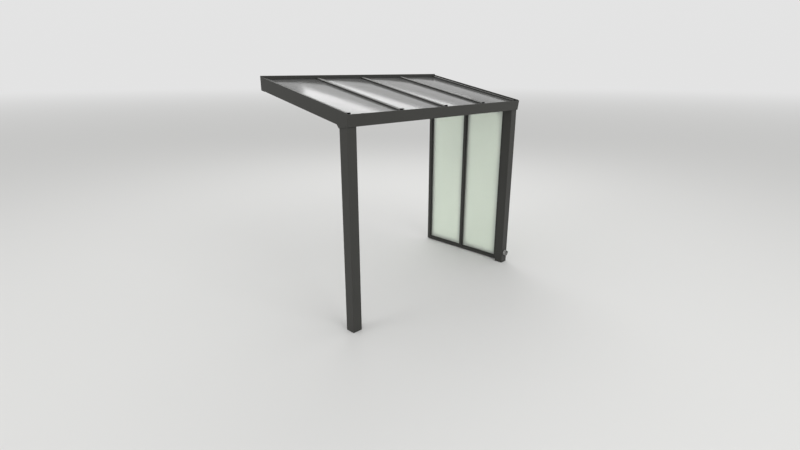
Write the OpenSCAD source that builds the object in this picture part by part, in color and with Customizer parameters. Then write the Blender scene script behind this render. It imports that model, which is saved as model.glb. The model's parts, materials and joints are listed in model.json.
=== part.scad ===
// Lean-to patio roof: two aluminium posts and a gutter in front, a wall profile
// behind, five rafters with glass between them, and one glazed side wall.
// The origin lies on the wall face, at mid-width and at the wall profile's mid-height.
// +Y points into the wall, -Y to the garden, +Z up. Lengths are in millimetres.

/* [Overall] */
// Width over the gutter's end caps
roof_w = 2910; // [2000:10:4000]
// Depth from the wall to the gutter's front lip
roof_d = 1500; // [1000:10:2400]
// Height of the posts at their back, and so the clear height under the gutter
post_h = 2142; // [1900:1:2600]
// Fall of the roof towards the gutter, in degrees
pitch = 11.7; // [6:0.1:16]

/* [Posts] */
// Width of the square post
post_w = 114; // [100:1:140]
// Wall of the post
post_t = 3; // [2:0.5:5]
// Post's outer face, in from the end of the gutter
post_inset = 8; // [8:1:40]
// Post's front face, behind the gutter's front lip
post_setback = 27; // [24:1:40]

/* [Gutter] */
// Height of the gutter, from the lowest line of its base to its front lip
gutter_h = 138; // [120:1:170]
// How far the lip stands in front of the face's lower edge
gutter_lean = 16; // [0:1:22]
// Fall of the base, from the lower edge of the front face to the posts' back
base_fall = 18; // [0:1:30]
// Depth of the slanted lower rear corner
chamfer_d = 29; // [15:1:45]
// Height of the slanted lower rear corner
chamfer_h = 36; // [15:1:50]
// Return of the front lip
lip_w = 12; // [8:1:20]
// Sheet thickness of the gutter profile
gutter_t = 3; // [2:0.5:4]
// Thickness of the gutter's end caps
gutter_cap_t = 4; // [3:0.5:6]

/* [Rafters] */
// Width of a middle rafter
rafter_w = 60; // [54:1:80]
// Width of an end rafter
end_rafter_w = 70; // [67:1:90]
// Depth of the rafters, square to the slope
rafter_d = 100; // [80:1:140]
// Wall of the rafters
rafter_t = 3; // [2:0.5:4]
// Depth of the nose that carries the glass over the gutter
nose_d = 22; // [14:1:30]
// Nose end, behind the gutter's front lip
nose_setback = 45; // [35:1:60]
// Height of an end rafter's outer edge above its glazing line
upstand_h = 40; // [34:1:60]
// Thickness of that edge
upstand_w = 10; // [6:1:12]

/* [Roof glazing] */
// Thickness of the roof panes
pane_t = 10; // [8:1:12]
// Gap between neighbouring panes, under the cover caps
pane_gap = 10; // [6:1:16]
// Thickness of the gaskets under the panes
lower_gasket_t = 3; // [2:0.5:4]
// Thickness of the gaskets over the panes
upper_gasket_t = 2; // [1.5:0.5:3]
// Width of both kinds of gasket
gasket_w = 10; // [8:1:12]
// Width of the cover caps
cap_w = 50; // [46:1:54]
// Height of the cover caps
cap_h = 11; // [10:1:18]
// Wall of the cover caps
cap_t = 2; // [1.5:0.5:3]
// Middle of an end cover cap, in from the end of the gutter
cap_edge = 40; // [38:1:44]
// Thickness of the end plugs
plug_t = 5; // [3:1:8]
// Width of the end plugs
plug_w = 54; // [50:1:56]
// How far the end plugs stand up above the cover caps
plug_rise = 12; // [2:1:14]

/* [Wall profile] */
// Depth of the wall profile's box
wall_d = 22; // [18:1:40]
// Top of the wall profile above the glazing line at the wall
wall_rise = 48; // [42:1:80]
// Wall of the wall profile
wall_t = 3; // [2:0.5:5]
// Depth of the shelf under the rafters
shelf_d = 40; // [25:1:60]
// Thickness of the shelf
shelf_t = 4; // [3:0.5:6]
// Thickness of the wall profile's end caps
wall_cap_t = 3; // [2:0.5:5]
// Height of the seal between the wall profile and the panes
wall_seal_h = 6; // [4:1:12]
// Depth of that seal
wall_seal_d = 14; // [8:1:20]
// Diameter of the wall fixing holes
fixing_d = 11; // [8:0.5:14]

/* [Side wall] */
// Thickness of the side wall's frame
frame_t = 55; // [45:1:80]
// Frame's outer face, in from the post's outer face
frame_inset = 8; // [0:1:20]
// Width of the jambs
jamb_w = 50; // [40:1:90]
// Width of the mullion
mullion_w = 34; // [30:1:90]
// Height of the rails
rail_h = 38; // [34:1:90]
// Gap between the ground and the frame
frame_lift = 12; // [0:1:30]
// Wall of the frame's profiles
frame_wall = 2.5; // [2:0.5:4]
// Thickness of the side panes
side_pane_t = 8; // [6:1:12]
// Gap round the edge of a side pane
side_pane_gap = 3; // [1:0.5:6]
// Width of the glazing beads
bead_w = 14; // [10:1:20]
// Thickness of the glazing beads
bead_t = 15.5; // [10:0.5:16]

/* [Drain] */
// Outer diameter of the drain pipe
pipe_d = 75; // [50:1:80]
// Wall of the drain pipe
pipe_t = 2; // [1.5:0.5:3]
// Height of the outlet's middle above the ground
outlet_z = 145; // [100:1:400]
// Length of the outlet in front of the post
outlet_l = 40; // [25:1:80]
// Radial gap round the pipe where it passes through metal
pipe_play = 0.5; // [0.3:0.1:1]
// Width of the flange that the pipe hangs by
flange_w = 8.5; // [5:0.5:8.5]

/* [Hidden] */
$fn = 96;

// Fixed values: fields of glass and fixings in each, seating gap, pipe flange, how far a nose
// laps into its rafter, how far the ledge stands in beside its gasket, and a cut's overrun
fields = 4;
fixings_per_field = 2;
seat_gap = 0.3;
flange_t = 2;
lap = 10;
ledge_margin = 2;
over = 1;
anthracite = "#464643";
black = "#262624";
glass_grey = [0.58, 0.58, 0.57, 0.8];
glass_green = [0.77, 0.80, 0.75, 0.8];
pipe_grey = "#878784";

// Places across the width
half_w = roof_w / 2;
post_x = half_w - post_inset - post_w / 2;
end_rafter_in = half_w - end_rafter_w;
cap_step = (roof_w - 2 * cap_edge) / fields;
cap_x = [for (i = [0 : fields]) i * cap_step - half_w + cap_edge];
fixing_step = cap_step / fixings_per_field;
fixing_x = [for (i = [0 : fields * fixings_per_field - 1]) cap_x[0] + (i + 0.5) * fixing_step];
frame_out = half_w - post_inset - frame_inset;
frame_in = frame_out - frame_t;
side_pane_x = frame_in + (frame_t - side_pane_t) / 2;
ledge_x = half_w - cap_edge + cap_w / 2 - gasket_w - ledge_margin;
nose_out = half_w - gutter_cap_t - seat_gap;

// Places along the depth
post_front = -roof_d + post_setback;
post_back = post_front + post_w;
face_y = -roof_d + gutter_lean;
gutter_back = post_back + chamfer_d;
nose_y = -roof_d + nose_setback;
end_cap_front = -roof_d + 2 * lip_w;
shelf_y = -wall_d - shelf_d;
post_y = (post_front + post_back) / 2;
bend_r = post_w / 2;
front_jamb_y = post_back + jamb_w;
mullion_y = (front_jamb_y - jamb_w) / 2;

// The roof's glazing line: n above the rafters' tops, square to the slope
rafter_top_z = post_h + chamfer_h + rafter_d / cos(pitch) - gutter_back * tan(pitch);
function roof_z(y, n) = rafter_top_z + y * tan(pitch) + n / cos(pitch);

// Levels above the glazing line
pane_bottom = lower_gasket_t;
pane_top = pane_bottom + pane_t;
cap_bottom = pane_top + upper_gasket_t;
cap_top = cap_bottom + cap_h;
frame_top = -rafter_d - shelf_t;

// Heights above the ground
lip_z = post_h + gutter_h;
back_wall_z = roof_z(gutter_back - gutter_t, -nose_d) - seat_gap;
wall_top_z = roof_z(0, wall_rise);
wall_bottom_z = roof_z(0, frame_top);
origin_z = (wall_top_z + wall_bottom_z) / 2;
rail_top_z = frame_lift + rail_h;

// The gutter's base: its underside and its floor fall towards the back
base_slope = base_fall / (post_back - face_y);
function base_z(y) = post_h + (post_back - y) * base_slope;
function floor_z(y) = base_z(y) + gutter_t * sqrt(1 + base_slope * base_slope);

// Sets a piece that is drawn from the ground up into the part's frame
module placed() translate([0, 0, -origin_z]) children();

// Extrudes a side outline of [y, z] points from x0 to x1
module side_shape(x0, x1, outline)
    translate([x0, 0, 0]) rotate([90, 0, 90]) linear_extrude(x1 - x0) polygon(outline);

// Outline of a slab along the slope with plumb ends: y0 rear, y1 front, n0 to n1
function slope_outline(y0, y1, n0, n1) =
    [[y0, roof_z(y0, n0)], [y1, roof_z(y1, n0)], [y1, roof_z(y1, n1)], [y0, roof_z(y0, n1)]];

// A slab along the slope
module slope_slab(x0, x1, y0, y1, n0, n1) side_shape(x0, x1, slope_outline(y0, y1, n0, n1));

// Draws a right-hand piece, or its mirror image where side is -1
module handed(side) {
    if (side < 0) mirror([1, 0, 0]) children();
    else children();
}

// Offsets an open run of points to its left by t, with mitred corners
function left_of(a, b) = let (d = (b - a) / norm(b - a)) [-d[1], d[0]];
function mitre(p, i, t) = let (
    before = left_of(p[max(i - 1, 0)], p[max(i, 1)]),
    after = left_of(p[min(i, len(p) - 2)], p[min(i + 1, len(p) - 1)]))
    p[i] + t * (before + after) / (1 + before * after);
function sheet(p, t) = concat(p, [for (i = [len(p) - 1 : -1 : 0]) mitre(p, i, t)]);

// Gutter section, from the lip round the trough to the top of the back wall
gutter_run = [[-roof_d + lip_w, lip_z], [-roof_d, lip_z],
    [face_y, base_z(face_y)], [post_back, post_h], [gutter_back, post_h + chamfer_h],
    [gutter_back, back_wall_z]];

// Square post, its top sawn to the slope of the gutter's base. The right one has a hole in front
// for the drain's outlet.
module post(x, outlet) color(anthracite) placed() difference() {
    side_shape(x - post_w / 2, x + post_w / 2,
        [[post_front, 0], [post_back, 0], [post_back, post_h], [post_front, base_z(post_front)]]);
    translate([x - post_w / 2 + post_t, post_front + post_t, -over])
        cube([post_w - 2 * post_t, post_w - 2 * post_t, base_z(post_front) + 2 * over]);
    if (outlet)
        translate([x, post_front - over, outlet_z]) rotate([-90, 0, 0])
            cylinder(h = post_t + 2 * over, r = pipe_d / 2 + pipe_play);
}

module left_post() post(-post_x, false);

module right_post() post(post_x, true);

// Round pipe wall between two radii, standing on its end
module tube(r, wall, h) difference() {
    cylinder(h = h, r = r);
    translate([0, 0, -over]) cylinder(h = h + 2 * over, r = r - wall);
}

// Room over the right post between two heights above the gutter's floor
module floor_slab(low, high) side_shape(post_x - post_w, post_x + post_w,
    [[face_y, floor_z(face_y) + low], [post_back, floor_z(post_back) + low],
     [post_back, floor_z(post_back) + high], [face_y, floor_z(face_y) + high]]);

// Drain pipe: it hangs by its flange in the gutter, and its bend ends at the post's front face
module drain_pipe() color(pipe_grey) placed() {
    difference() {
        translate([post_x, post_y, outlet_z + bend_r]) tube(pipe_d / 2, pipe_t, lip_z - outlet_z - bend_r);
        floor_slab(flange_t, gutter_h + base_fall);
    }
    difference() {
        translate([post_x, post_y, post_h]) tube(pipe_d / 2 + flange_w, flange_w + pipe_t, gutter_h);
        floor_slab(flange_t, gutter_h + base_fall);
        floor_slab(-gutter_h, 0);
    }
    translate([post_x, post_front, outlet_z + bend_r]) rotate([0, 90, 0]) rotate_extrude(angle = 90)
        translate([bend_r, 0]) difference() {
            circle(r = pipe_d / 2);
            circle(r = pipe_d / 2 - pipe_t);
        }
    translate([post_x, post_front, outlet_z]) rotate([90, 0, 0]) tube(pipe_d / 2, pipe_t, outlet_l);
}

// Gutter: one bent profile that lies on the posts, with the drain hole over the right one
module gutter() color(anthracite) placed() difference() {
    side_shape(-half_w + gutter_cap_t, half_w - gutter_cap_t, sheet(gutter_run, gutter_t));
    translate([post_x, post_y, post_h - over])
        cylinder(h = gutter_h, r = pipe_d / 2 + pipe_play);
}

// End plate of the gutter, which also closes the end of the glazing
module gutter_end_cap(side) color(anthracite) placed() handed(side)
    side_shape(half_w - gutter_cap_t, half_w, concat(
        [for (i = [1 : len(gutter_run) - 2]) gutter_run[i]],
        [[gutter_back, roof_z(gutter_back, upstand_h)],
         [end_cap_front, roof_z(end_cap_front, upstand_h)]]));

module gutter_end_cap_left() gutter_end_cap(-1);

module gutter_end_cap_right() gutter_end_cap(1);

// Clear span of a field, from the left rafter's side to the right one's
function field_start(i) = i == 0 ? -end_rafter_in : cap_x[i] + rafter_w / 2;
function field_end(i) = i == fields - 1 ? end_rafter_in : cap_x[i + 1] - rafter_w / 2;

// Strips between the rafters that close the gap from the gutter's back wall to the panes
module gutter_infill_strips() color(anthracite) placed() for (i = [0 : fields - 1])
    side_shape(field_start(i), field_end(i), [
        [gutter_back, back_wall_z], [gutter_back, roof_z(gutter_back, pane_bottom)],
        [gutter_back - gutter_t, roof_z(gutter_back - gutter_t, pane_bottom)],
        [gutter_back - gutter_t, back_wall_z]]);

// Wall profile section: a box on the wall and a shelf under the rafters
wall_outline = [[0, wall_top_z], [-wall_d, wall_top_z], [-wall_d, roof_z(-wall_d, -rafter_d)],
    [shelf_y, roof_z(shelf_y, -rafter_d)], [shelf_y, roof_z(shelf_y, frame_top)], [0, wall_bottom_z]];

module wall_profile() color(anthracite) placed() difference() {
    side_shape(-half_w + wall_cap_t, half_w - wall_cap_t, wall_outline);
    translate([-half_w, -wall_d + wall_t, roof_z(-wall_d, -rafter_d) + shelf_t])
        cube([roof_w, wall_d - 2 * wall_t, wall_top_z - wall_t - roof_z(-wall_d, -rafter_d) - shelf_t]);
    for (x = fixing_x)
        translate([x, over, origin_z]) rotate([90, 0, 0]) cylinder(h = wall_d + 2 * over, d = fixing_d);
}

module wall_profile_cap(side) color(anthracite) placed() handed(side)
    side_shape(half_w - wall_cap_t, half_w, wall_outline);

module wall_profile_cap_left() wall_profile_cap(-1);

module wall_profile_cap_right() wall_profile_cap(1);

// Seal along the foot of the wall profile, on top of the panes
module wall_seal() color(black) placed()
    slope_slab(-half_w + upstand_w, half_w - upstand_w, -wall_d, -wall_d - wall_seal_d,
        pane_top, pane_top + wall_seal_h);

// Solid rafter body and nose between two x values
module rafter_body(x0, x1, nose_x1) {
    slope_slab(x0, x1, -wall_d, gutter_back, -rafter_d, 0);
    slope_slab(x0, nose_x1, gutter_back + lap, nose_y, -nose_d, 0);
}

// Hollow inside of a rafter, open at the wall and at the nose
module rafter_hollow(x0, x1) {
    slope_slab(x0 + rafter_t, x1 - rafter_t, over, gutter_back + rafter_t, rafter_t - rafter_d, -rafter_t);
    slope_slab(x0 + rafter_t, x1 - rafter_t, gutter_back + lap, nose_y - over, rafter_t - nose_d, -rafter_t);
}

// Middle rafter: it butts against the gutter's back wall, and its nose reaches over the trough
module rafter(x) color(anthracite) placed() difference() {
    rafter_body(x - rafter_w / 2, x + rafter_w / 2, x + rafter_w / 2);
    rafter_hollow(x - rafter_w / 2, x + rafter_w / 2);
}

// End rafter: it also has a ledge as high as the pane and a raised outer edge, both hollow
module end_rafter(side) color(anthracite) placed() handed(side) difference() {
    union() {
        rafter_body(end_rafter_in, half_w, nose_out);
        slope_slab(ledge_x, half_w, -wall_d, gutter_back, -rafter_t, pane_top);
        slope_slab(ledge_x, nose_out, gutter_back + lap, nose_y, -rafter_t, pane_top);
        slope_slab(half_w - upstand_w, half_w, -wall_d, gutter_back, -rafter_t, upstand_h);
    }
    rafter_hollow(end_rafter_in, nose_out);
    slope_slab(ledge_x + rafter_t, nose_out - rafter_t, over, nose_y - over,
        -rafter_t - over, pane_top - rafter_t);
    if (upstand_w > 2 * rafter_t)
        slope_slab(half_w - upstand_w + rafter_t, half_w - rafter_t, over, gutter_back + rafter_t,
            -rafter_t - over, upstand_h - rafter_t);
}

module end_rafter_left() end_rafter(-1);

module rafter_left() rafter(cap_x[1]);

module rafter_middle() rafter(cap_x[2]);

module rafter_right() rafter(cap_x[3]);

module end_rafter_right() end_rafter(1);

// Gasket strips along the rafters, under the edges of the panes
module lower_gaskets() color(black) placed() for (i = [0 : fields], s = [-1, 1])
    if (abs(cap_x[i] + s) < half_w - cap_edge)
        let (x = cap_x[i] + s * (cap_w - gasket_w) / 2)
            slope_slab(x - gasket_w / 2, x + gasket_w / 2, -wall_d, nose_y, 0, pane_bottom);

// Roof pane of one field
module roof_pane(i) color(glass_grey) placed()
    slope_slab(cap_x[i] + pane_gap / 2, cap_x[i + 1] - pane_gap / 2, -wall_d, nose_y, pane_bottom, pane_top);

module roof_pane_1() roof_pane(0);

module roof_pane_2() roof_pane(1);

module roof_pane_3() roof_pane(2);

module roof_pane_4() roof_pane(3);

// Gasket strips between the panes and the cover caps
module upper_gaskets() color(black) placed() for (i = [0 : fields], s = [-1, 1])
    let (x = cap_x[i] + s * (cap_w - gasket_w) / 2)
        slope_slab(x - gasket_w / 2, x + gasket_w / 2, -wall_d - wall_seal_d, nose_y, pane_top, cap_bottom);

// Cover cap over a joint between two panes, hollow and open at its ends
module cover_cap(i) color(anthracite) placed() difference() {
    slope_slab(cap_x[i] - cap_w / 2, cap_x[i] + cap_w / 2, -wall_d - wall_seal_d, nose_y,
        cap_bottom, cap_top);
    slope_slab(cap_x[i] - cap_w / 2 + cap_t, cap_x[i] + cap_w / 2 - cap_t, 0, nose_y - over,
        cap_bottom + cap_t, cap_top - cap_t);
}

module cover_cap_1() cover_cap(0);

module cover_cap_2() cover_cap(1);

module cover_cap_3() cover_cap(2);

module cover_cap_4() cover_cap(3);

module cover_cap_5() cover_cap(4);

// Plastic plug over the front end of a rafter's nose, the panes' corners and the cover cap
module end_plug(i) color(black) placed()
    slope_slab(cap_x[i] - plug_w / 2, cap_x[i] + plug_w / 2, nose_y, nose_y - plug_t,
        -nose_d, cap_top + plug_rise);

module end_plug_1() end_plug(0);

module end_plug_2() end_plug(1);

module end_plug_3() end_plug(2);

module end_plug_4() end_plug(3);

module end_plug_5() end_plug(4);

// Hollow upright of the side wall from z0 up, before its top is cut to the slope
module upright(y0, width, z0) difference() {
    translate([frame_in, y0, z0]) cube([frame_t, width, wall_top_z - z0]);
    translate([frame_in + frame_wall, y0 + frame_wall, z0 - over])
        cube([frame_t - 2 * frame_wall, width - 2 * frame_wall, wall_top_z - z0 + 2 * over]);
}

// Everything above a line of the slope, to cut uprights with
module above_slope(n) slope_slab(frame_in - over, frame_out + over, over, -roof_d, n, n + wall_top_z);

// The gutter as a solid, to cut the front jamb with
module gutter_outside() side_shape(frame_in - over, frame_out + over, concat(
    [for (i = [1 : len(gutter_run) - 2]) gutter_run[i]],
    [[gutter_back, wall_top_z], [-roof_d, wall_top_z]]));

module side_rear_jamb() color(anthracite) placed() difference() {
    upright(-jamb_w, jamb_w, frame_lift);
    above_slope(frame_top);
}

module side_front_jamb() color(anthracite) placed() difference() {
    upright(post_back, jamb_w, frame_lift);
    above_slope(frame_top);
    gutter_outside();
}

module side_mullion() color(anthracite) placed() difference() {
    upright(mullion_y - mullion_w / 2, mullion_w, rail_top_z);
    above_slope(frame_top - rail_h);
}

// Hollow rail between the jambs
module side_bottom_rail() color(anthracite) placed() difference() {
    translate([frame_in, front_jamb_y, frame_lift]) cube([frame_t, -jamb_w - front_jamb_y, rail_h]);
    translate([frame_in + frame_wall, front_jamb_y - over, frame_lift + frame_wall])
        cube([frame_t - 2 * frame_wall, -jamb_w - front_jamb_y + 2 * over, rail_h - 2 * frame_wall]);
}

// Hollow rail along the slope
module side_top_rail() color(anthracite) placed() difference() {
    slope_slab(frame_in, frame_out, -jamb_w, front_jamb_y, frame_top - rail_h, frame_top);
    slope_slab(frame_in + frame_wall, frame_out - frame_wall, -jamb_w + over, front_jamb_y - over,
        frame_top - rail_h + frame_wall, frame_top - frame_wall);
}

// Foam strip between the side wall and the end rafter
module side_wall_seal() color(black) placed()
    slope_slab(end_rafter_in, frame_out, shelf_y, gutter_back, frame_top, -rafter_d);

// Outline of a side pane's opening, drawn in by m on all sides: y0 rear, y1 front
function opening_outline(y0, y1, m) = [[y0 - m, rail_top_z + m], [y1 + m, rail_top_z + m],
    [y1 + m, roof_z(y1 + m, frame_top - rail_h - m)], [y0 - m, roof_z(y0 - m, frame_top - rail_h - m)]];

module side_pane(y0, y1) color(glass_green) placed()
    side_shape(side_pane_x, side_pane_x + side_pane_t, opening_outline(y0, y1, side_pane_gap));

// Glazing beads: a ring on each face of a side pane
module glazing_beads(y0, y1) color(anthracite) placed()
    for (x = [side_pane_x - bead_t, side_pane_x + side_pane_t]) difference() {
        side_shape(x, x + bead_t, opening_outline(y0, y1, 0));
        side_shape(x - over, x + bead_t + over, opening_outline(y0, y1, bead_w));
    }

module side_pane_front() side_pane(mullion_y - mullion_w / 2, front_jamb_y);

module side_pane_rear() side_pane(-jamb_w, mullion_y + mullion_w / 2);

module glazing_beads_front() glazing_beads(mullion_y - mullion_w / 2, front_jamb_y);

module glazing_beads_rear() glazing_beads(-jamb_w, mullion_y + mullion_w / 2);

left_post();
right_post();
drain_pipe();
gutter();
gutter_end_cap_left();
gutter_end_cap_right();
gutter_infill_strips();
wall_profile();
wall_profile_cap_left();
wall_profile_cap_right();
wall_seal();
end_rafter_left();
rafter_left();
rafter_middle();
rafter_right();
end_rafter_right();
lower_gaskets();
roof_pane_1();
roof_pane_2();
roof_pane_3();
roof_pane_4();
upper_gaskets();
cover_cap_1();
cover_cap_2();
cover_cap_3();
cover_cap_4();
cover_cap_5();
end_plug_1();
end_plug_2();
end_plug_3();
end_plug_4();
end_plug_5();
side_rear_jamb();
side_front_jamb();
side_mullion();
side_bottom_rail();
side_top_rail();
side_wall_seal();
side_pane_front();
side_pane_rear();
glazing_beads_front();
glazing_beads_rear();
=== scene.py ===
import json
from math import atan2, cos, pi, radians, sin

import bmesh
import bpy
from mathutils import Matrix, Vector


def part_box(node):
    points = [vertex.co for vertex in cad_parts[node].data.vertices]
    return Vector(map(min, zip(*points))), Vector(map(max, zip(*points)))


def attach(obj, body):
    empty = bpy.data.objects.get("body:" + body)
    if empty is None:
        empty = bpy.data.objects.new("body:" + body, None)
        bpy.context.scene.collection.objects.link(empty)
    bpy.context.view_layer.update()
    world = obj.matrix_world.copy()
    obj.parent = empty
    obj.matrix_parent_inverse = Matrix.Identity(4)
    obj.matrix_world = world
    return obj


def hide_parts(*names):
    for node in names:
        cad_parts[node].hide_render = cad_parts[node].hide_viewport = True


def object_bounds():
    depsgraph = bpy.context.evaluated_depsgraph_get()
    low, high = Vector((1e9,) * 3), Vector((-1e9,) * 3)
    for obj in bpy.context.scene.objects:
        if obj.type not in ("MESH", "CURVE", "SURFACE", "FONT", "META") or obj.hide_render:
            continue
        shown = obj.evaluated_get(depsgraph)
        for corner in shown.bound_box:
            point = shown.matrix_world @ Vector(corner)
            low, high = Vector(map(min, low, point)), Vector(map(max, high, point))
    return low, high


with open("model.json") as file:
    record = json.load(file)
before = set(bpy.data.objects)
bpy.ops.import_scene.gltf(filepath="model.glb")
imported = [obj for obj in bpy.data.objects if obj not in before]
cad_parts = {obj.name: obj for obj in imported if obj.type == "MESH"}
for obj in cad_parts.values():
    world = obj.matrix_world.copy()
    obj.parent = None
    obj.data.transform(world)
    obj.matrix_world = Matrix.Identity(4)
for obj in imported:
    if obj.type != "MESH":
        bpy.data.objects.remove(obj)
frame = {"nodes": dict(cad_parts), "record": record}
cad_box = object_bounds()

scene = bpy.context.scene
record = frame["record"]
MM = 0.001
MERGE = 0.01 * MM


# ---- Posts -----------------------------------------------------------------------------------
# Two square tubes of extruded aluminium, cut to length and powder coated in matt anthracite.
# The long edges of the extrusion are slightly rounded, and the gutter lies on their sawn tops.

def group_sockets(group, inputs, outputs):
    """Gives a node group its named inputs, with their defaults, and its outputs."""
    for name, kind, value in inputs:
        socket = group.interface.new_socket(name=name, in_out="INPUT", socket_type=kind)
        socket.default_value = value
    for name, kind in outputs:
        group.interface.new_socket(name=name, in_out="OUTPUT", socket_type=kind)


def add_node(tree, kind, **settings):
    """A node of that kind, with inputs given by name and settings by attribute."""
    node = tree.nodes.new(kind)
    for name, value in settings.items():
        if name in node.inputs:
            node.inputs[name].default_value = value
        else:
            setattr(node, name, value)
    return node


def math_node(tree, operation, a, b=None, clamp=False):
    """A Math node on two values or sockets. Returns its output."""
    node = add_node(tree, "ShaderNodeMath", operation=operation, use_clamp=clamp)
    for socket, value in zip(node.inputs, (a, b)):
        if isinstance(value, bpy.types.NodeSocket):
            tree.links.new(value, socket)
        elif value is not None:
            socket.default_value = value
    return node.outputs["Value"]


def mixed_colour(tree, factor, a, b):
    """A colour between a and b. Returns its output."""
    node = add_node(tree, "ShaderNodeMix", data_type="RGBA")
    for name, value in (("Factor", factor), ("A", a), ("B", b)):
        socket = [s for s in node.inputs if s.name == name and s.enabled][0]
        if isinstance(value, bpy.types.NodeSocket):
            tree.links.new(value, socket)
        else:
            socket.default_value = value
    return [s for s in node.outputs if s.enabled][0]


CLOUD_SCALE = 1.7
GRAIN_RELIEF = 0.2 * MM


def grain_group():
    """Fine grain of a coating or a moulding: a tone that wanders a little, and a height."""
    group = bpy.data.node_groups.new("surface_grain", "ShaderNodeTree")
    group_sockets(group,
                  [("Colour", "NodeSocketColor", (0.1, 0.1, 0.1, 1)),
                   ("Tone spread", "NodeSocketFloat", 0.1),
                   ("Grains per metre", "NodeSocketFloat", 1500.0),
                   ("Roughness", "NodeSocketFloat", 0.5),
                   ("Roughness spread", "NodeSocketFloat", 0.1)],
                  [("Colour", "NodeSocketColor"), ("Roughness", "NodeSocketFloat"),
                   ("Height", "NodeSocketFloat")])
    inside = group.nodes.new("NodeGroupInput")
    outside = group.nodes.new("NodeGroupOutput")
    place = group.nodes.new("ShaderNodeTexCoord")
    cloud = add_node(group, "ShaderNodeTexNoise", Scale=CLOUD_SCALE, Detail=3.0)
    grain = add_node(group, "ShaderNodeTexNoise", Detail=2.0)
    for texture in (cloud, grain):
        group.links.new(place.outputs["Object"], texture.inputs["Vector"])
    group.links.new(inside.outputs["Grains per metre"], grain.inputs["Scale"])
    centred = math_node(group, "SUBTRACT", cloud.outputs["Fac"], 0.5)
    spread = math_node(group, "MULTIPLY", centred, inside.outputs["Tone spread"])
    fine = math_node(group, "SUBTRACT", grain.outputs["Fac"], 0.5)
    fine_spread = math_node(group, "MULTIPLY", fine, inside.outputs["Tone spread"])
    tone = math_node(group, "ADD", math_node(group, "ADD", spread, fine_spread), 1.0)
    scaled = add_node(group, "ShaderNodeVectorMath", operation="SCALE")
    group.links.new(inside.outputs["Colour"], scaled.inputs[0])
    group.links.new(tone, scaled.inputs["Scale"])
    group.links.new(scaled.outputs["Vector"], outside.inputs["Colour"])
    rough = math_node(group, "MULTIPLY", centred, inside.outputs["Roughness spread"])
    group.links.new(math_node(group, "ADD", rough, inside.outputs["Roughness"]),
                    outside.inputs["Roughness"])
    group.links.new(grain.outputs["Fac"], outside.inputs["Height"])
    return group


surface_grain = grain_group()


def grained_material(name, colour, roughness, tone_spread, grains, bump, rough_spread=0.1,
                     metallic=0.0, specular=0.5):
    """A material whose colour, roughness and bump come from the grain group."""
    material = bpy.data.materials.new(name)
    material.use_nodes = True
    tree = material.node_tree
    shader = tree.nodes["Principled BSDF"]
    grain = tree.nodes.new("ShaderNodeGroup")
    grain.node_tree = surface_grain
    grain.inputs["Colour"].default_value = (*colour, 1)
    grain.inputs["Roughness"].default_value = roughness
    grain.inputs["Tone spread"].default_value = tone_spread
    grain.inputs["Grains per metre"].default_value = grains
    grain.inputs["Roughness spread"].default_value = rough_spread
    relief = add_node(tree, "ShaderNodeBump", Strength=bump, Distance=GRAIN_RELIEF)
    tree.links.new(grain.outputs["Height"], relief.inputs["Height"])
    tree.links.new(grain.outputs["Colour"], shader.inputs["Base Color"])
    tree.links.new(grain.outputs["Roughness"], shader.inputs["Roughness"])
    tree.links.new(relief.outputs["Normal"], shader.inputs["Normal"])
    shader.inputs["Metallic"].default_value = metallic
    shader.inputs["Specular IOR Level"].default_value = specular
    return material


COAT_COLOUR = (0.036, 0.036, 0.032)
powder_coat = grained_material("anthracite_powder_coat", COAT_COLOUR, roughness=0.47,
                               tone_spread=0.16, grains=1400, bump=0.12, specular=0.35)


FLAT_WITHIN = radians(1)
SHARPER_THAN = radians(30)


def merged_copy(node):
    """A bmesh of a CAD node, its triangles merged into whole flat faces."""
    shape = bmesh.new()
    shape.from_mesh(frame["nodes"][node].data)
    bmesh.ops.remove_doubles(shape, verts=shape.verts, dist=MERGE)
    bmesh.ops.dissolve_limit(shape, angle_limit=FLAT_WITHIN, verts=shape.verts, edges=shape.edges)
    return shape


def bevelled(shape, edges, width, segments):
    """Rounds the given edges of a shape."""
    bmesh.ops.bevel(shape, geom=edges, offset=width, offset_type="OFFSET", segments=segments,
                    profile=0.5, affect="EDGES", clamp_overlap=True, material=-1)


def round_edges(shape, width, segments=2):
    """Rounds the edges of a shape where its faces meet at a sharp angle."""
    sharp = [e for e in shape.edges if e.is_manifold and e.calc_face_angle(0) > SHARPER_THAN]
    bevelled(shape, sharp, width, segments)


def finished(name, shape, material, replaced=()):
    """Makes a shape an object with smooth shading, and ties it to the frame."""
    mesh = bpy.data.meshes.new(name)
    shape.to_mesh(mesh)
    shape.free()
    for face in mesh.polygons:
        face.use_smooth = True
    mesh.materials.append(material)
    piece = bpy.data.objects.new(name, mesh)
    scene.collection.objects.link(piece)
    shading = piece.modifiers.new("flat_faces_stay_flat", "WEIGHTED_NORMAL")
    shading.keep_sharp = True
    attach(piece, "root")
    if replaced:
        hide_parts(*replaced)
    return piece


def edged(node, width, material, segments=2):
    """The piece of a CAD node, with its edges rounded to that radius."""
    shape = merged_copy(node)
    round_edges(shape, width, segments)
    return finished(node + "_finished", shape, material, (node,))


POST_EDGE = 1.5 * MM
for post in ("left_post", "right_post"):
    edged(post, POST_EDGE, powder_coat)


# ---- Drain pipe ------------------------------------------------------------------------------
# A grey plastic pipe inside the right post. It hangs by its flange in the gutter, and its outlet
# comes out of the post's foot through a rubber collar that covers the edge of the hole.

PIPE_COLOUR = (0.29, 0.29, 0.28)
pipe_plastic = grained_material("grey_pipe_plastic", PIPE_COLOUR, roughness=0.42,
                                tone_spread=0.1, grains=500, bump=0.05)
RUBBER_COLOUR = (0.018, 0.018, 0.018)
black_rubber = grained_material("black_rubber", RUBBER_COLOUR, roughness=0.62,
                                tone_spread=0.3, grains=900, bump=0.2)

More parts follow.
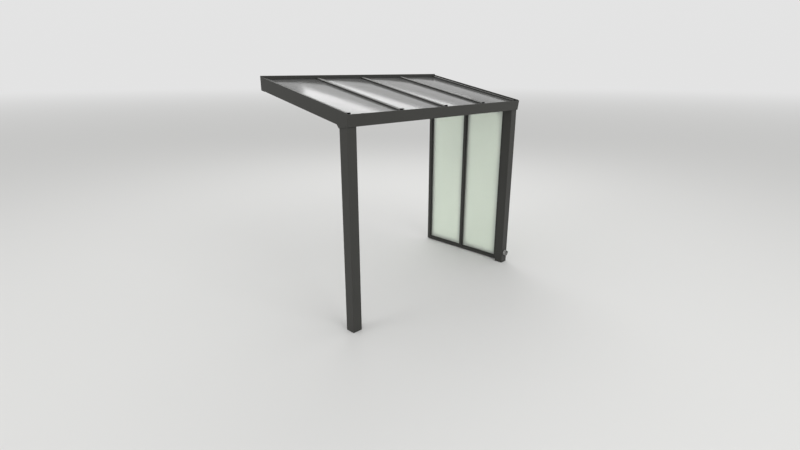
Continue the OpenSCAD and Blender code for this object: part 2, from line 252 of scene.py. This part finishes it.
outlet = [m for m in record["mounts"] if m["name"] == "drain_outlet"][0]
outlet_r = outlet["dims"]["r_mm"] * MM
outlet_x, outlet_z = outlet["pos_m"][0], outlet["pos_m"][2]
post_low, post_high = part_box("right_post")

PIPE_EDGE = 0.6 * MM
edged("drain_pipe", PIPE_EDGE, pipe_plastic)


def turned(outline, steps, axis_point, axis):
    """Spins a closed outline of points round an axis, into a ring."""
    shape = bmesh.new()
    corners = [shape.verts.new(p) for p in outline]
    edges = [shape.edges.new((a, b)) for a, b in zip(corners, corners[1:] + corners[:1])]
    bmesh.ops.spin(shape, geom=corners + edges, cent=axis_point, axis=axis, angle=2 * pi,
                   steps=steps, use_merge=True)
    bmesh.ops.remove_doubles(shape, verts=shape.verts, dist=1e-6)
    bmesh.ops.recalc_face_normals(shape, faces=shape.faces)
    return shape


COLLAR_W = 7 * MM
COLLAR_T = 4 * MM
COLLAR_STEPS = 64
COLLAR_PLAY = 0.2 * MM
COLLAR_SECTION = ((COLLAR_PLAY, 0), (COLLAR_W, 0), (COLLAR_W, COLLAR_T / 2),
                  (COLLAR_W * 0.6, COLLAR_T * 0.9), (COLLAR_W * 0.25, COLLAR_T),
                  (COLLAR_PLAY, COLLAR_T))
collar_outline = [(outlet_x + outlet_r + across, post_low.y - out, outlet_z)
                  for across, out in COLLAR_SECTION]
collar = turned(collar_outline, COLLAR_STEPS, (outlet_x, post_low.y, outlet_z), (0, 1, 0))
finished("outlet_collar", collar, black_rubber)


# ---- Gutter ----------------------------------------------------------------------------------
# One extruded profile, open at the top, that lies on both posts and carries the rafters' noses.
# Plates are screwed to its ends with button-head screws. A wire basket keeps leaves off the drain.

GUTTER_EDGE = 1.2 * MM
PLATE_EDGE = 0.9 * MM
STRIP_EDGE = 0.4 * MM
edged("gutter", GUTTER_EDGE, powder_coat)
edged("gutter_infill_strips", STRIP_EDGE, powder_coat)
for plate in ("gutter_end_cap_left", "gutter_end_cap_right"):
    edged(plate, PLATE_EDGE, powder_coat)

SCREW_COLOUR = (0.05, 0.05, 0.047)
screw_steel = grained_material("coated_screw_steel", SCREW_COLOUR, roughness=0.34,
                               tone_spread=0.2, grains=700, bump=0.05, metallic=0.6)
SCREW_SIDES = 24
SCREW_R = 4.5 * MM
SCREW_H = 2.4 * MM
SCREW_TOP_R = SCREW_R * 0.86
SCREW_ROUNDING = SCREW_H * 0.4
SOCKET_R = 2.2 * MM
SOCKET_INSET = SCREW_R * 0.25
SOCKET_DEPTH = SCREW_H * 0.6


def screw_head(place, outward):
    """A button head with a hexagon socket, its seat at place and its axis outward."""
    shape = bmesh.new()
    bmesh.ops.create_cone(shape, cap_ends=True, segments=SCREW_SIDES, radius1=SCREW_R,
                          radius2=SCREW_TOP_R, depth=SCREW_H,
                          matrix=Matrix.Translation((0, 0, SCREW_H / 2)))
    top = max(shape.faces, key=lambda f: f.calc_center_median().z)
    bevelled(shape, list(top.edges), SCREW_ROUNDING, 3)
    top = max(shape.faces, key=lambda f: (f.calc_center_median().z, f.calc_area()))
    bmesh.ops.inset_individual(shape, faces=[top], thickness=SOCKET_INSET, depth=0)
    sixth = pi / 3
    for corner in top.verts:
        turn = Vector(corner.co.xy).angle_signed(Vector((1, 0)))
        reach = SOCKET_R * cos(sixth / 2) / cos(turn % sixth - sixth / 2)
        corner.co.xy = Vector((cos(turn), sin(turn))) * reach
    wall = bmesh.ops.extrude_discrete_faces(shape, faces=[top])["faces"][0]
    bmesh.ops.translate(shape, verts=wall.verts, vec=(0, 0, -SOCKET_DEPTH))
    turn_to = Vector((0, 0, 1)).rotation_difference(Vector(outward)).to_matrix().to_4x4()
    bmesh.ops.transform(shape, verts=shape.verts, matrix=Matrix.Translation(place) @ turn_to)
    return shape


def joined(shapes):
    """Several shapes as one."""
    whole = bmesh.new()
    for shape in shapes:
        part = bpy.data.meshes.new("part")
        shape.to_mesh(part)
        shape.free()
        whole.from_mesh(part)
        bpy.data.meshes.remove(part)
    return whole


def screws(name, places, outward):
    """A group of screws that hold one plate."""
    shape = joined([screw_head(Vector(p), outward) for p in places])
    return finished(name, shape, screw_steel)


SCREW_PROUD = 1.2 * MM
PLATE_SCREWS = ((0.13, 0.64), (0.87, 0.78), (0.87, 0.32), (0.25, 0.17))
for side, plate in ((-1, "gutter_end_cap_left"), (1, "gutter_end_cap_right")):
    low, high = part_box(plate)
    face_x = (high.x if side > 0 else low.x) - side * (SCREW_H - SCREW_PROUD)
    places = [(face_x, low.y + along * (high.y - low.y), low.z + up * (high.z - low.z))
              for along, up in PLATE_SCREWS]
    screws(plate + "_screws", places, (side, 0, 0))


def sawn_height(face_y):
    """The height of the right post's sawn top at its front or back face."""
    corners = [v.co for v in frame["nodes"]["right_post"].data.vertices]
    return max(c.z for c in corners if abs(c.y - face_y) < 0.1 * MM)


floor_tilt = atan2(sawn_height(post_low.y) - sawn_height(post_high.y), post_high.y - post_low.y)
STRAINER_R = outlet_r * 0.92
STRAINER_WIRE = 1.3 * MM
STRAINER_HOOPS = 4
STRAINER_SINK = 1 * MM
WIRE_SIDES = 8
HOOP_STEPS = 20
RING_STEPS = 48


def leaf_strainer():
    """Crossed hoops of wire that stand in the drain, welded to a ring."""
    shape = bmesh.new()
    for hoop in range(STRAINER_HOOPS):
        ring = bmesh.ops.create_circle(shape, segments=WIRE_SIDES, radius=STRAINER_WIRE,
                                       matrix=Matrix.Translation((STRAINER_R, 0, 0)))["verts"]
        edges = list({e for v in ring for e in v.link_edges})
        bmesh.ops.spin(shape, geom=ring + edges, cent=(0, 0, 0), axis=(0, 1, 0), angle=-pi,
                       steps=HOOP_STEPS)
        hoop_verts = {v for v in shape.verts if not v.tag}
        bmesh.ops.rotate(shape, verts=list(hoop_verts), cent=(0, 0, 0),
                         matrix=Matrix.Rotation(pi * hoop / STRAINER_HOOPS, 3, "Z"))
        for v in shape.verts:
            v.tag = True
    section = bmesh.ops.create_circle(shape, segments=WIRE_SIDES, radius=STRAINER_WIRE,
                                      matrix=Matrix.Translation((STRAINER_R, 0, 0))
                                      @ Matrix.Rotation(pi / 2, 4, "X"))["verts"]
    edges = list({e for v in section for e in v.link_edges})
    bmesh.ops.spin(shape, geom=section + edges, cent=(0, 0, 0), axis=(0, 0, 1), angle=2 * pi,
                   steps=RING_STEPS, use_merge=True)
    bmesh.ops.holes_fill(shape, edges=[e for e in shape.edges if e.is_boundary],
                         sides=WIRE_SIDES)
    bmesh.ops.remove_doubles(shape, verts=shape.verts, dist=1e-6)
    bmesh.ops.recalc_face_normals(shape, faces=shape.faces)
    bmesh.ops.rotate(shape, verts=shape.verts, cent=(0, 0, 0),
                     matrix=Matrix.Rotation(-floor_tilt, 3, "X"))
    pipe_low, pipe_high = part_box("drain_pipe")
    flange_r = (pipe_high.x - pipe_low.x) / 2
    flange_top = pipe_high.z - flange_r * sin(floor_tilt) / cos(floor_tilt)
    bmesh.ops.translate(shape, verts=shape.verts,
                        vec=(outlet_x, (post_low.y + post_high.y) / 2, flange_top - STRAINER_SINK))
    return shape


finished("leaf_strainer", leaf_strainer(), screw_steel)


# ---- Wall profile ----------------------------------------------------------------------------
# One extruded profile along the house wall: a hollow box with eight fixing holes, and a shelf
# that the rafters' rear ends stand on. Flat plates close its ends, held by two screws each.

edged("wall_profile", GUTTER_EDGE, powder_coat)
WALL_PLATE_SCREWS = (0.12, 0.82)
for side, plate in ((-1, "wall_profile_cap_left"), (1, "wall_profile_cap_right")):
    edged(plate, PLATE_EDGE, powder_coat)
    low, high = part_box(plate)
    face_x = (high.x if side > 0 else low.x) - side * (SCREW_H - SCREW_PROUD)
    middle_y = high.y - (high.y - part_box("end_rafter_left")[1].y) / 2
    screws(plate + "_screws", [(face_x, middle_y, low.z + up * (high.z - low.z))
                               for up in WALL_PLATE_SCREWS], (side, 0, 0))


# ---- Rafters ---------------------------------------------------------------------------------
# Five hollow aluminium extrusions, sawn plumb at the wall. In front they are notched, so that a
# flat nose reaches over the gutter. The two end rafters have a raised outer edge.

RAFTER_EDGE = 1.2 * MM
for rafter in ("end_rafter_left", "rafter_left", "rafter_middle", "rafter_right", "end_rafter_right"):
    edged(rafter, RAFTER_EDGE, powder_coat)


# ---- Gaskets and seals -----------------------------------------------------------------------
# Extruded rubber strips. The panes lie on one pair and are held down by another, and a wider
# strip seals the panes along the wall profile.

GASKET_EDGE = 0.6 * MM
for strip in ("lower_gaskets", "upper_gaskets"):
    edged(strip, GASKET_EDGE, black_rubber)
SEAL_EDGE = 2.2 * MM
edged("wall_seal", SEAL_EDGE, black_rubber, 4)


# ---- Roof panes ------------------------------------------------------------------------------
# Four sheets of grey tinted safety glass, 10 mm thick, with ground edges that look green. Held
# along their long sides only, they are very slightly crowned, which bends what they reflect.

PANE_TINT = (0.19, 0.19, 0.185)
PANE_CROWN_ACROSS = 0.016
PANE_CROWN_ALONG = 0.010
PANE_ROUGHNESS = 0.14
PANE_IOR = 1.3
PANE_CLEARNESS = 0.45
SMEAR_SCALE = 3.0
SMEAR_STRETCH = (3.0, 0.6, 1.0)
SMEAR_DULLING = 0.1
ARRIS = 0.8 * MM
pane_low, pane_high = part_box("roof_pane_1")
pane_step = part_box("roof_pane_2")[0].x - pane_low.x
pane_w = pane_high.x - pane_low.x


def roof_glass():
    """Grey glass with a crown on each sheet, and smears of dried rain that dull it a little."""
    material = bpy.data.materials.new("grey_roof_glass")
    material.use_nodes = True
    tree = material.node_tree
    shader = tree.nodes["Principled BSDF"]
    shader.inputs["Base Color"].default_value = (*PANE_TINT, 1)
    shader.inputs["IOR"].default_value = PANE_IOR
    shader.inputs["Transmission Weight"].default_value = PANE_CLEARNESS
    place = tree.nodes.new("ShaderNodeTexCoord")
    parts = tree.nodes.new("ShaderNodeSeparateXYZ")
    tree.links.new(place.outputs["Object"], parts.inputs["Vector"])
    first_edge = pane_low.x - (pane_step - pane_w) / 2
    from_edge = math_node(tree, "SUBTRACT", parts.outputs["X"], first_edge)
    fraction = math_node(tree, "FRACT", math_node(tree, "DIVIDE", from_edge, pane_step))
    across = math_node(tree, "SUBTRACT", fraction, 0.5)
    middle_y = (pane_low.y + pane_high.y) / 2
    from_middle = math_node(tree, "SUBTRACT", parts.outputs["Y"], middle_y)
    along = math_node(tree, "DIVIDE", from_middle, pane_high.y - pane_low.y)
    across_squared = math_node(tree, "MULTIPLY", across, across)
    along_squared = math_node(tree, "MULTIPLY", along, along)
    crown_across = math_node(tree, "MULTIPLY", across_squared, -4 * PANE_CROWN_ACROSS)
    crown_along = math_node(tree, "MULTIPLY", along_squared, -4 * PANE_CROWN_ALONG)
    crown = math_node(tree, "ADD", crown_across, crown_along)
    relief = add_node(tree, "ShaderNodeBump", Strength=1.0, Distance=1.0)
    tree.links.new(crown, relief.inputs["Height"])
    tree.links.new(relief.outputs["Normal"], shader.inputs["Normal"])
    smears = add_node(tree, "ShaderNodeTexNoise", Scale=SMEAR_SCALE, Detail=6.0, Roughness=0.65)
    stretched = add_node(tree, "ShaderNodeMapping")
    stretched.inputs["Scale"].default_value = SMEAR_STRETCH
    tree.links.new(place.outputs["Object"], stretched.inputs["Vector"])
    tree.links.new(stretched.outputs["Vector"], smears.inputs["Vector"])
    smear = math_node(tree, "SUBTRACT", smears.outputs["Fac"], 0.5)
    dulled = math_node(tree, "MULTIPLY", smear, SMEAR_DULLING)
    tree.links.new(math_node(tree, "ADD", dulled, PANE_ROUGHNESS), shader.inputs["Roughness"])
    return material


grey_glass = roof_glass()
GLASS_EDGE_COLOUR = (0.045, 0.09, 0.07)
green_edge = grained_material("ground_glass_edge", GLASS_EDGE_COLOUR, roughness=0.3,
                              tone_spread=0.1, grains=900, bump=0.03)


FACE_ON = 0.9


def glass_sheet(node, material, edge_material, face_normal):
    """A pane with its arrises ground, its two large faces in its glass and its edges green."""
    shape = merged_copy(node)
    round_edges(shape, ARRIS, 1)
    shape.faces.ensure_lookup_table()
    shape.normal_update()
    for face in shape.faces:
        if abs(face.normal.dot(face_normal)) < FACE_ON:
            face.material_index = 1
    piece = finished(node + "_glass", shape, material, (node,))
    piece.data.materials.append(edge_material)
    return piece


slope_rise = (pane_high.z - pane_low.z) / (pane_high.y - pane_low.y)
slope_normal = Vector((0, -slope_rise, 1)).normalized()
for i in range(1, 5):
    glass_sheet(f"roof_pane_{i}", grey_glass, green_edge, slope_normal)


# ---- Cover caps and end plugs ----------------------------------------------------------------
# Aluminium cover caps clip over the joints between the panes. A black moulded plug closes the
# front end of each cap and of the rafter's nose below it, and is held by one screw.

CAP_EDGE = 1.6 * MM
for i in range(1, 6):
    edged(f"cover_cap_{i}", CAP_EDGE, powder_coat, 3)

PLUG_COLOUR = (0.008, 0.008, 0.008)
plug_plastic = grained_material("black_moulded_plastic", PLUG_COLOUR, roughness=0.7,
                                tone_spread=0.2, grains=2500, bump=0.25, specular=0.05)
PLUG_EDGE = 1.5 * MM
PLUG_RIM = 5 * MM
PLUG_DISH = 0.9 * MM


def end_plug(node):
    """A plug with rounded edges and a dished front."""
    shape = merged_copy(node)
    round_edges(shape, PLUG_EDGE, 3)
    shape.normal_update()
    front = max((f for f in shape.faces if f.normal.y < -FACE_ON), key=lambda f: f.calc_area())
    bmesh.ops.inset_individual(shape, faces=[front], thickness=PLUG_RIM, depth=0)
    bmesh.ops.inset_individual(shape, faces=[front], thickness=PLUG_DISH, depth=-PLUG_DISH)
    return finished(node + "_moulded", shape, plug_plastic, (node,))


for i in range(1, 6):
    end_plug(f"end_plug_{i}")
    low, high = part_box(f"end_plug_{i}")
    seat = ((low.x + high.x) / 2, low.y + PLUG_DISH, (low.z + high.z) / 2)
    screws(f"end_plug_{i}_screw", [seat], (0, -1, 0))


# ---- Side wall -------------------------------------------------------------------------------
# A frame of hollow aluminium profiles between the wall, the post and the end rafter, screwed
# together at its corners. Clipped beads hold two sheets of satin etched glass in it, painted greyer
# near their edges as painted shade.

FRAME_EDGE = 1.5 * MM
for profile in ("side_rear_jamb", "side_front_jamb", "side_mullion", "side_bottom_rail",
                "side_top_rail"):
    edged(profile, FRAME_EDGE, powder_coat)
edged("side_wall_seal", GASKET_EDGE, black_rubber)
BEAD_EDGE = 2 * MM
for beads in ("glazing_beads_front", "glazing_beads_rear"):
    edged(beads, BEAD_EDGE, powder_coat, 3)

SATIN_COLOUR = (0.90, 0.965, 0.87)
# painted shade: the grey the satin glass is painted near its edges, where the frame and beads shade
# it
SATIN_PAINTED_SHADE_COLOUR = (0.56, 0.59, 0.545)
PAINTED_SHADE_WIDTH = 0.09
SATIN_IOR = 1.5
SATIN_ROUGHNESS = 0.6
SATIN_CLEARNESS = 0.65
SATIN_WANDER = 0.2
SATIN_CLOUD_SCALE = 1.3
ETCHING_SCALE = 1800.0
ETCHING_BUMP = 0.15
mullion_low, mullion_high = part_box("side_mullion")
sheet_low, sheet_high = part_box("side_pane_front")
rear_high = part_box("side_pane_rear")[1]
sheet_top = rear_high.z - rear_high.y * slope_rise


def satin_glass():
    """Green tinted glass, etched on one face, with painted shade: its colour turns greyer near its
    edges, where they sit in the frame and beads.
    """
    material = bpy.data.materials.new("satin_side_glass")
    material.use_nodes = True
    tree = material.node_tree
    shader = tree.nodes["Principled BSDF"]
    shader.inputs["IOR"].default_value = SATIN_IOR
    shader.inputs["Roughness"].default_value = SATIN_ROUGHNESS
    shader.inputs["Transmission Weight"].default_value = SATIN_CLEARNESS
    place = tree.nodes.new("ShaderNodeTexCoord")
    parts = tree.nodes.new("ShaderNodeSeparateXYZ")
    tree.links.new(place.outputs["Object"], parts.inputs["Vector"])
    mullion_y = (mullion_low.y + mullion_high.y) / 2
    half_sheet = (sheet_high.y - sheet_low.y) / 2
    sheet_from_mullion = mullion_y - (sheet_low.y + sheet_high.y) / 2
    reach = math_node(tree, "ABSOLUTE", math_node(tree, "SUBTRACT", parts.outputs["Y"], mullion_y))
    from_middle = math_node(tree, "ABSOLUTE", math_node(tree, "SUBTRACT", reach, sheet_from_mullion))
    to_side = math_node(tree, "SUBTRACT", half_sheet, from_middle)
    to_foot = math_node(tree, "SUBTRACT", parts.outputs["Z"], sheet_low.z)
    edge_rise = math_node(tree, "MULTIPLY", parts.outputs["Y"], slope_rise)
    edge_height = math_node(tree, "ADD", edge_rise, sheet_top)
    to_top = math_node(tree, "SUBTRACT", edge_height, parts.outputs["Z"])
    upright_edges = math_node(tree, "MINIMUM", to_foot, to_top)
    nearest = math_node(tree, "SMOOTH_MIN", to_side, upright_edges)
    nearest.node.inputs[2].default_value = PAINTED_SHADE_WIDTH
    # painted shade: the colour ramps to grey within this width of the pane's edges, where the frame
    # and beads shade the glass
    painted_shade_ramp = add_node(tree, "ShaderNodeMapRange", interpolation_type="SMOOTHSTEP")
    painted_shade_ramp.inputs["From Max"].default_value = PAINTED_SHADE_WIDTH
    tree.links.new(nearest, painted_shade_ramp.inputs["Value"])
    cloud = add_node(tree, "ShaderNodeTexNoise", Scale=SATIN_CLOUD_SCALE, Detail=3.0)
    tree.links.new(place.outputs["Object"], cloud.inputs["Vector"])
    centred = math_node(tree, "SUBTRACT", cloud.outputs["Fac"], 0.5)
    wander = math_node(tree, "MULTIPLY", centred, SATIN_WANDER)
    # a random cloud of tone is added to the painted shade ramp before it mixes the two colours
    shade_and_cloud = math_node(tree, "ADD", painted_shade_ramp.outputs["Result"], wander, clamp=True)
    tree.links.new(mixed_colour(tree, shade_and_cloud, (*SATIN_PAINTED_SHADE_COLOUR, 1), (*SATIN_COLOUR, 1)),
                   shader.inputs["Base Color"])
    etching = add_node(tree, "ShaderNodeTexNoise", Scale=ETCHING_SCALE, Detail=2.0)
    tree.links.new(place.outputs["Object"], etching.inputs["Vector"])
    relief = add_node(tree, "ShaderNodeBump", Strength=ETCHING_BUMP, Distance=GRAIN_RELIEF)
    tree.links.new(etching.outputs["Fac"], relief.inputs["Height"])
    tree.links.new(relief.outputs["Normal"], shader.inputs["Normal"])
    return material


etched_glass = satin_glass()
for pane in ("side_pane_front", "side_pane_rear"):
    glass_sheet(pane, etched_glass, green_edge, Vector((1, 0, 0)))


# ---- Floor, light and camera -----------------------------------------------------------------
# A pale studio floor that fades into an even sky, and three broad soft lamps. The camera stands
# a little above the roof and looks down on it from the front left.

FLOOR_COLOUR = (0.665, 0.665, 0.655)
HORIZON_COLOUR = (0.77, 0.77, 0.77)
SKY_TOP_COLOUR = (0.80, 0.80, 0.80)
FLOOR_R = 150.0
FADE_FROM = 8.0
FADE_TO = 75.0
FLOOR_SIDES = 96
FLOOR_ROUGHNESS = 0.9
FLOOR_SHEEN = 0.1
GROUND = cad_box[0].z


def studio_floor():
    """A large disc that fades into the colour of the horizon."""
    shape = bmesh.new()
    bmesh.ops.create_circle(shape, cap_ends=True, segments=FLOOR_SIDES, radius=FLOOR_R,
                            matrix=Matrix.Translation((0, 0, GROUND)))
    mesh = bpy.data.meshes.new("studio_floor")
    shape.to_mesh(mesh)
    shape.free()
    floor = bpy.data.objects.new("studio_floor", mesh)
    scene.collection.objects.link(floor)
    material = bpy.data.materials.new("studio_floor_paint")
    material.use_nodes = True
    tree = material.node_tree
    shader = tree.nodes["Principled BSDF"]
    shader.inputs["Base Color"].default_value = (*FLOOR_COLOUR, 1)
    shader.inputs["Roughness"].default_value = FLOOR_ROUGHNESS
    shader.inputs["Specular IOR Level"].default_value = FLOOR_SHEEN
    place = tree.nodes.new("ShaderNodeTexCoord")
    flat = add_node(tree, "ShaderNodeVectorMath", operation="MULTIPLY")
    flat.inputs[1].default_value = (1, 1, 0)
    distance = add_node(tree, "ShaderNodeVectorMath", operation="LENGTH")
    fade = add_node(tree, "ShaderNodeMapRange", interpolation_type="SMOOTHSTEP")
    fade.inputs["From Min"].default_value = FADE_FROM
    fade.inputs["From Max"].default_value = FADE_TO
    glow = tree.nodes.new("ShaderNodeEmission")
    glow.inputs["Color"].default_value = (*HORIZON_COLOUR, 1)
    blend = tree.nodes.new("ShaderNodeMixShader")
    tree.links.new(place.outputs["Object"], flat.inputs[0])
    tree.links.new(flat.outputs["Vector"], distance.inputs[0])
    tree.links.new(distance.outputs["Value"], fade.inputs["Value"])
    tree.links.new(fade.outputs["Result"], blend.inputs["Fac"])
    tree.links.new(shader.outputs["BSDF"], blend.inputs[1])
    tree.links.new(glow.outputs["Emission"], blend.inputs[2])
    tree.links.new(blend.outputs["Shader"], tree.nodes["Material Output"].inputs["Surface"])
    mesh.materials.append(material)


studio_floor()

SKY_LIGHT = 0.82
SKY_TOP_AT = 0.5


def studio_sky():
    """An even pale sky. Seen directly, it runs from the horizon's colour to a lighter one."""
    world = bpy.data.worlds.new("studio_sky")
    scene.world = world
    world.use_nodes = True
    tree = world.node_tree
    tree.nodes.clear()
    out = tree.nodes.new("ShaderNodeOutputWorld")
    light = add_node(tree, "ShaderNodeBackground", Strength=SKY_LIGHT)
    light.inputs["Color"].default_value = (1, 1, 1, 1)
    seen = add_node(tree, "ShaderNodeBackground", Strength=1.0)
    place = tree.nodes.new("ShaderNodeTexCoord")
    parts = tree.nodes.new("ShaderNodeSeparateXYZ")
    rise = add_node(tree, "ShaderNodeMapRange", interpolation_type="SMOOTHSTEP")
    rise.inputs["From Min"].default_value = 0.0
    rise.inputs["From Max"].default_value = SKY_TOP_AT
    tree.links.new(place.outputs["Generated"], parts.inputs["Vector"])
    tree.links.new(parts.outputs["Z"], rise.inputs["Value"])
    shade = mixed_colour(tree, rise.outputs["Result"], (*HORIZON_COLOUR, 1), (*SKY_TOP_COLOUR, 1))
    tree.links.new(shade, seen.inputs["Color"])
    rays = tree.nodes.new("ShaderNodeLightPath")
    through = math_node(tree, "MAXIMUM", rays.outputs["Is Camera Ray"],
                        rays.outputs["Is Transmission Ray"])
    direct = math_node(tree, "MAXIMUM", through, rays.outputs["Is Glossy Ray"])
    blend = tree.nodes.new("ShaderNodeMixShader")
    tree.links.new(direct, blend.inputs["Fac"])
    tree.links.new(light.outputs["Background"], blend.inputs[1])
    tree.links.new(seen.outputs["Background"], blend.inputs[2])
    tree.links.new(blend.outputs["Shader"], out.inputs["Surface"])


studio_sky()


def soft_lamp(name, place, target, size, watts):
    """A square area lamp that points at the target."""
    data = bpy.data.lights.new(name, "AREA")
    data.shape = "SQUARE"
    data.size = size
    data.energy = watts
    lamp = bpy.data.objects.new(name, data)
    scene.collection.objects.link(lamp)
    lamp.location = place
    lamp.rotation_euler = (Vector(target) - Vector(place)).to_track_quat("-Z", "Y").to_euler()


middle = (cad_box[0] + cad_box[1]) / 2
soft_lamp("front_lamp", (-1.5, -9.0, 5.5), middle, size=5.0, watts=260)
soft_lamp("side_lamp", (-9.0, 1.0, 4.5), middle, size=4.0, watts=130)
soft_lamp("roof_lamp", (4.6, 3.7, 5.3), middle, size=5.0, watts=200)

CAMERA_PLACE = (-4.323, -5.025, 0.151)
CAMERA_AZIMUTH = -45.17
CAMERA_ELEVATION = 17.89
CAMERA_LENS = 21.775
SENSOR_WIDTH = 36.0
SEEN_UP_TO = 200.0
camera = bpy.data.objects.new("camera", bpy.data.cameras.new("camera"))
scene.collection.objects.link(camera)
scene.camera = camera
camera.location = CAMERA_PLACE
camera.rotation_euler = (radians(90 - CAMERA_ELEVATION), 0, radians(CAMERA_AZIMUTH))
camera.data.lens = CAMERA_LENS
camera.data.sensor_width = SENSOR_WIDTH
camera.data.clip_end = SEEN_UP_TO
scene.view_settings.view_transform = "Standard"
